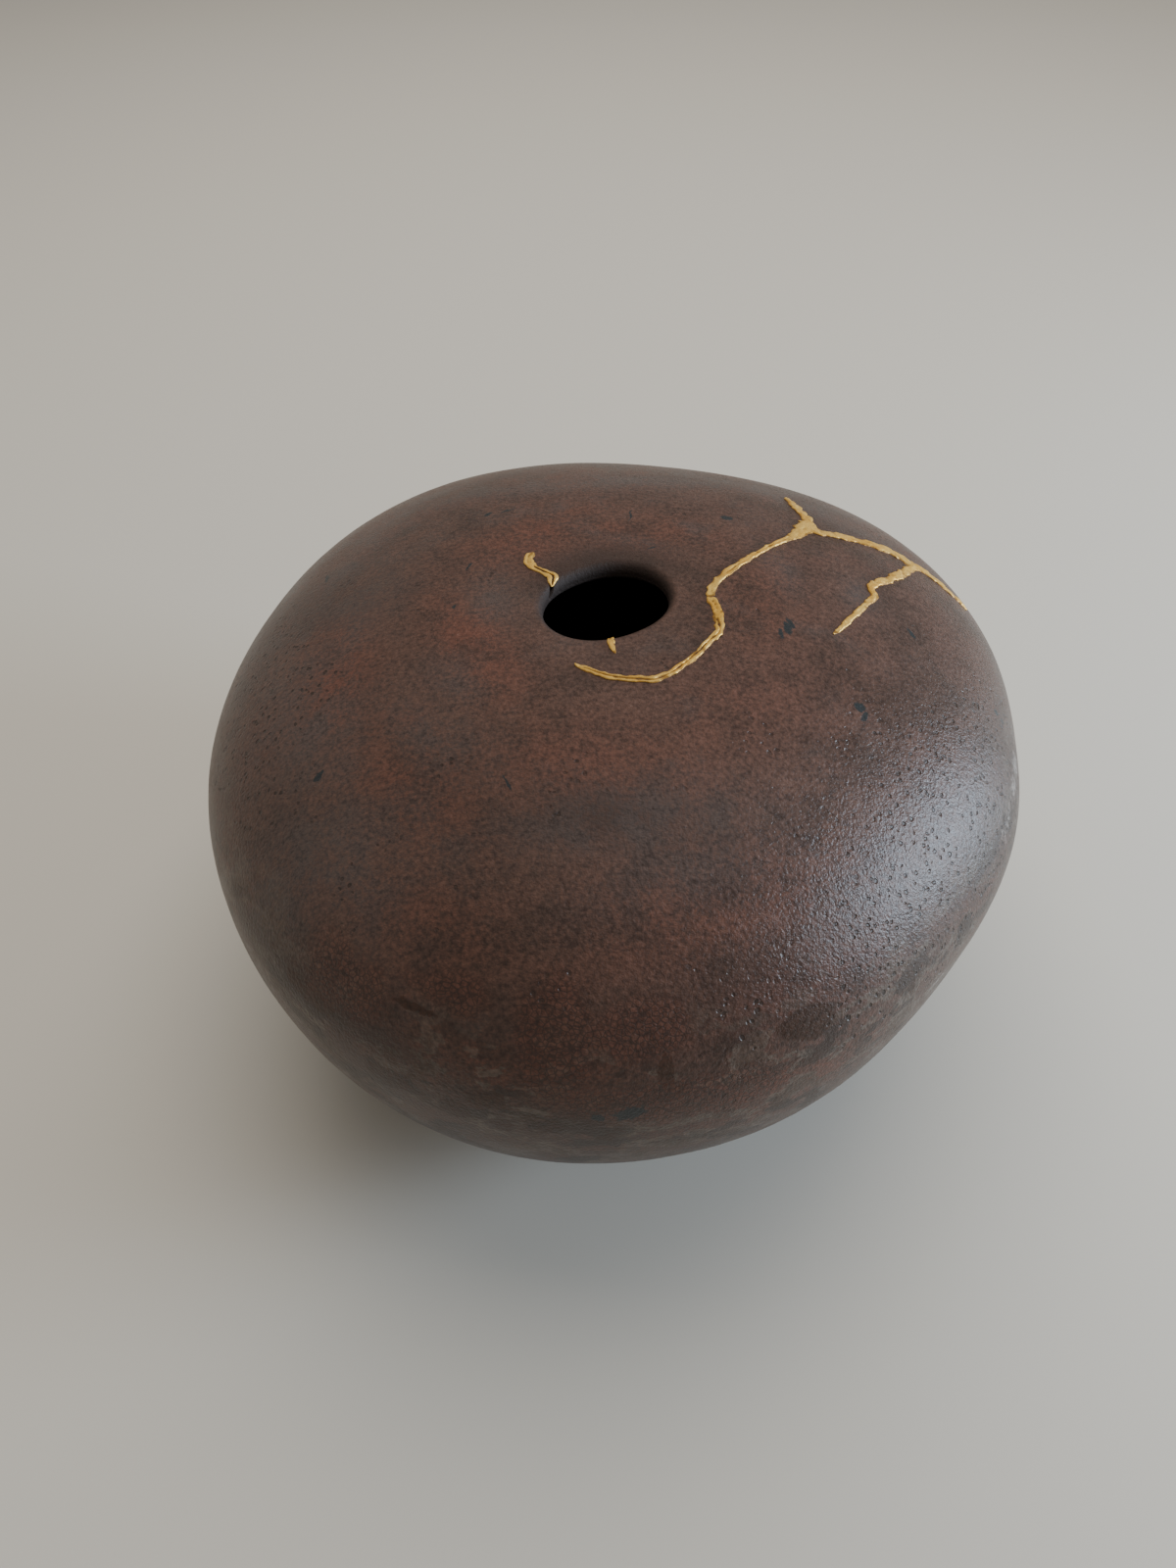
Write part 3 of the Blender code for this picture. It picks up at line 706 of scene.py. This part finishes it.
def goldLine(points, seed, furrows=(), rough=(), breaks=(), slits=()):
    # A closed strip: across the top the height is a rounded crown with wrinkles and furrows,
    # the sides go down under the clay, and the half widths wander along it.
    # Furrows, rough parts, breaks and slits are given by the counts of the route's points.
    middle, outward, share, count, at = follow(points)
    ahead = unit(np.gradient(middle, axis=0))
    side = unit(np.cross(outward, ahead))
    rows = len(middle)
    line = np.stack([at, 0 * at, 0 * at], axis=-1)
    halves = []
    for edge in (0, 1):
        wander = sum(amount * cloud(line + (0, 0.05 * edge, 0), size, seed + edge) for size, amount in gold["ragged"])
        halves.append(gold["width"] * share / 2 * (1 + wander))
    length, start = gold["tip"]
    ends = np.minimum(1, np.sqrt(np.minimum(at, at[-1] - at) / length + start))
    across = np.linspace(-1, 1, gold["columns"])[None]
    width = np.where(across < 0, halves[0][:, None], halves[1][:, None]) * ends[:, None]
    outer, inner = gold["crown"]
    top = gold["rise"] * (1 - np.abs(across) ** outer) ** inner + 0 * width
    spots = np.stack([np.broadcast_to(at[:, None], width.shape), across * width, 0 * width], axis=-1)
    for size, height in gold["wrinkles"]:
        top = top + height * cloud(spots * gold["drawn"], size, seed + 5)
    for start, end, deep in furrows:
        size, reach = gold["furrowWander"]
        off = reach * cloud(line, size, seed + 9)
        along = between(count, start, end, gold["furrowEase"])
        top = top - deep * along[:, None] * np.exp(-((across - off[:, None]) / gold["furrow"]) ** 2)
    for start, end, deep in rough:
        along = between(count, start, end, gold["roughEase"])
        top = top + deep * along[:, None] * cloud(spots, gold["flake"], seed + 13)
    for where, wide in breaks:
        top = top - gold["breakDepth"] * fade(1 - np.abs(count - where) / wide)[:, None]
    for start, end, deep in slits:
        place, soft, fill = gold["slit"]
        along = between(count, start, end, gold["slitEase"])
        top = top - deep * along[:, None] * fade(fill - np.abs(across - place) / soft)
    across, width, top = np.broadcast_arrays(across, width, top)
    base = np.full((rows, 2), -gold["depth"])
    tucked = gold["tucked"]
    lateral = np.concatenate([across * width, width[:, -1:] * tucked, -width[:, :1] * tucked], axis=1)
    height = np.concatenate([top, base], axis=1)
    points = middle[:, None] + side[:, None] * lateral[..., None] + outward[:, None] * height[..., None]
    columns = points.shape[1]
    startTip, endTip = rows * columns, rows * columns + 1
    tips = points[[0, -1]].mean(axis=1)
    quads = ringGrid(rows, columns)[:, ::-1]
    ring = np.arange(columns)
    fans = np.concatenate([fanOf(ring, startTip, False), fanOf(ring + (rows - 1) * columns, endTip, True)])
    return np.concatenate([points.reshape(-1, 3), tips]), quads, fans


def liftOver(points):
    # Height over the clay: the press undone by four rounds, then the height above the dome
    # times the cosine of its slope, or the distance to the lip's round edge.
    turn = np.degrees(np.arctan2(points[:, 1], points[:, 0]))
    pressed = np.hypot(points[:, 0], points[:, 1])
    r = pressed
    for roundNumber in range(4):
        stretch, oval = pressedBy(r, turn)
        r = (pressed - oval) / (1 + stretch)
    step = 0.0005
    slope = (domeHeight(r + step) - domeHeight(r - step)) / (2 * step)
    high = (points[:, 2] - domeHeight(r)) / np.hypot(1, slope)
    wall = vase["wall"]
    edge = np.hypot(r - crestRadius, points[:, 2] - domeHeight(crestRadius) + wall / 2) - wall / 2
    return np.where(r > crestRadius, high, edge) - ripple(points)


def goldPiece(name, lines, node, finish):
    # The lines of one mend, made one closed skin on a fine lattice, then grained.
    points, quads, fans, first = [], [], [], 0
    for made in lines:
        points.append(made[0])
        quads.append(made[1] + first)
        fans.append(made[2] + first)
        first += len(made[0])
    joined = [np.concatenate(part) for part in (points, quads, fans)]
    rough = bpy.data.objects.new(name, makeMesh(name, *joined))
    bpy.context.scene.collection.objects.link(rough)
    lattice = rough.modifiers.new("lattice", "REMESH")
    lattice.mode = "VOXEL"
    lattice.voxel_size = gold["voxel"]
    lattice.adaptivity = 0
    soften = rough.modifiers.new("soften", "SMOOTH")
    soften.factor = 0.3
    soften.iterations = 1
    mesh = bpy.data.meshes.new_from_object(rough.evaluated_get(bpy.context.evaluated_depsgraph_get()))
    bpy.data.objects.remove(rough)
    mesh.name = name
    at = np.empty(len(mesh.vertices) * 3, dtype=np.float32)
    mesh.vertices.foreach_get("co", at)
    at = at.reshape(-1, 3).astype(float)
    setTone(mesh, "lift", liftOver(at) / gold["rise"])
    mesh.shade_smooth()
    return addPiece(name, mesh, finish, node)


leaf = {
    "pale": (0.98, 0.63, 0.165),
    "warm": (0.86, 0.48, 0.09),
    "creaseShade": (0.30, 0.14, 0.03),
    "lacquer": (0.075, 0.030, 0.012),
    "matte": 0.45,
    "crumple": 0.0011,         # sizes of the leaf's creases, of its broad tones and of its grain
    "broad": 0.009,
    "grain": 0.0004,
    "grainHeight": 0.00014,
}


def leafFinish():
    # Pale leaf with warmer clouds, painted shade in its low creases and towards its edges, and bare lacquer where it
    # thins out.
    shine = Finish("goldLeaf")
    place = shine.place
    crumple = shine.noise(place, leaf["crumple"], 4, 0.62)
    broad = shine.noise(place, leaf["broad"], 2, 0.5, seed=4)
    lift = shine.tone("lift") + 0.5 * (crumple - 0.5)
    colour = shine.mix(shine.step(broad + 0.4 * (crumple - 0.5), 0.42, 0.70), leaf["pale"], leaf["warm"])
    # Painted shade where the leaf lies low.
    colour = shine.mix(shine.step(lift, 0.85, 0.35) * 0.85, colour, leaf["creaseShade"])
    bare = shine.step(lift, 0.25, -0.05)
    colour = shine.mix(bare * 0.9, colour, leaf["lacquer"])
    height = crumple + 0.6 * shine.noise(place, leaf["grain"], 2, 0.5, seed=2)
    shine.set(Base_Color=colour, Roughness=leaf["matte"] + 0.25 * (crumple - 0.5) + 0.2 * bare,
              Metallic=0.6 - 0.55 * bare, Normal=shine.bump(height, 0.8, leaf["grainHeight"]))
    return shine.material


leafGold = leafFinish()
longPiece = goldPiece("goldSeamLong", (
    goldLine(longLine, 11, furrows=((0.5, 9.5, 0.00052), (13.5, 18.5, 0.00025)),
             rough=((8.8, 10.8, 0.00040),), breaks=((11.1, 0.22),)),
    goldLine(spike, 23, rough=((-1, 1.5, 0.00015),)),
    goldLine(shoulderBranch, 31),
    goldLine(hook, 43, rough=((8.0, 11, 0.00025),)),
    goldLine(thinRun, 57),
), "gold_seam_long", leafGold)
leftPiece = goldPiece("goldSeamLeft", (
    goldLine(leftLine, 67, slits=((2.6, 9.5, 0.0011),)),
), "gold_seam_left", leafGold)
frontPiece = goldPiece("goldSeamFront", (
    goldLine(frontDrop, 73, rough=((1, 4, 0.0002),)),
), "gold_seam_front", leafGold)
for piece in (longPiece, leftPiece, frontPiece):
    print(piece.name + ":", len(piece.data.polygons), "faces")


# Floor, light and camera

studio = {
    "floor": (0.60, 0.575, 0.52),
    "sky": (0.93, 0.875, 0.80),
    "skyStrength": 0.32,
    "lights": (                # name, azimuth, elevation, distance, width, height, watts and colour
        ("window", -4, 13, 1.10, 0.38, 0.30, 12.7, (0.76, 0.92, 1.10)),
        ("ceiling", 80, 68, 1.6, 1.7, 1.7, 26, (1.0, 0.95, 0.88)),
    ),
    "aim": (0, 0, 0.1),        # where the lights point
    "cameraAt": (-0.00731, -0.28968, 0.38637),
    "pitch": 46.03,
    "roll": -1.873,
    "lens": 26.87,             # focal length and the width of the sensor behind it, in mm
    "sensor": 36,
}


def makeFloor():
    reach = 4.0
    points = np.array([(-reach, -reach, 0), (reach, -reach, 0), (reach, reach, 0), (-reach, reach, 0)], dtype=float)
    floor = bpy.data.objects.new("floor", makeMesh("floor", points, [(0, 1, 2, 3)]))
    bpy.context.scene.collection.objects.link(floor)
    paint = Finish("paleFloor")
    paint.set(Base_Color=(*studio["floor"], 1), Roughness=0.7)
    floor.data.materials.append(paint.material)
    floor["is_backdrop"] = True


def makeLight(name, azimuth, elevation, distance, width, height, watts, colour):
    lamp = bpy.data.lights.new(name, "AREA")
    lamp.shape = "RECTANGLE"
    lamp.size = width
    lamp.size_y = height
    lamp.energy = watts
    lamp.color = colour
    light = bpy.data.objects.new(name, lamp)
    light.visible_glossy = name != "ceiling"   # it fills the shadows and leaves no sheen
    bpy.context.scene.collection.objects.link(light)
    level = math.cos(math.radians(elevation))
    way = np.array([level * math.cos(math.radians(azimuth)), level * math.sin(math.radians(azimuth)),
                    math.sin(math.radians(elevation))])
    right = unit(np.cross((0, 0, 1), way))
    up = np.cross(way, right)
    away = Matrix(np.stack([right, up, way], axis=1).tolist()).to_4x4()
    away.translation = (way * distance + studio["aim"]).tolist()
    light.matrix_world = away


def makeCamera():
    lens = bpy.data.cameras.new("camera")
    lens.sensor_width = studio["sensor"]
    lens.lens = studio["lens"]
    lens.clip_start = 0.01
    camera = bpy.data.objects.new("camera", lens)
    bpy.context.scene.collection.objects.link(camera)
    pitch, roll = math.radians(studio["pitch"]), math.radians(studio["roll"])
    ahead = np.array([0, math.cos(pitch), -math.sin(pitch)])
    right = np.array([1.0, 0, 0])
    down = np.cross(ahead, right)
    rolledRight = math.cos(roll) * right - math.sin(roll) * down
    rolledDown = math.sin(roll) * right + math.cos(roll) * down
    stand = Matrix(np.stack([rolledRight, -rolledDown, -ahead], axis=1).tolist()).to_4x4()
    stand.translation = studio["cameraAt"]
    camera.matrix_world = stand
    bpy.context.scene.camera = camera


makeFloor()
for light in studio["lights"]:
    makeLight(*light)
world = bpy.data.worlds.new("paleRoom")
world.use_nodes = True
sky = world.node_tree.nodes["Background"].inputs
sky["Color"].default_value = (*studio["sky"], 1)
sky["Strength"].default_value = studio["skyStrength"]
bpy.context.scene.world = world
makeCamera()
print("stage: floor, lights and camera")

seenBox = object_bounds()
boxes = {"cad": [list(corner) for corner in cadBox], "visual": [list(corner) for corner in seenBox]}
print("sizes in mm:", [[round(1000 * (b - a), 2) for a, b in zip(*boxes[kind])] for kind in boxes])
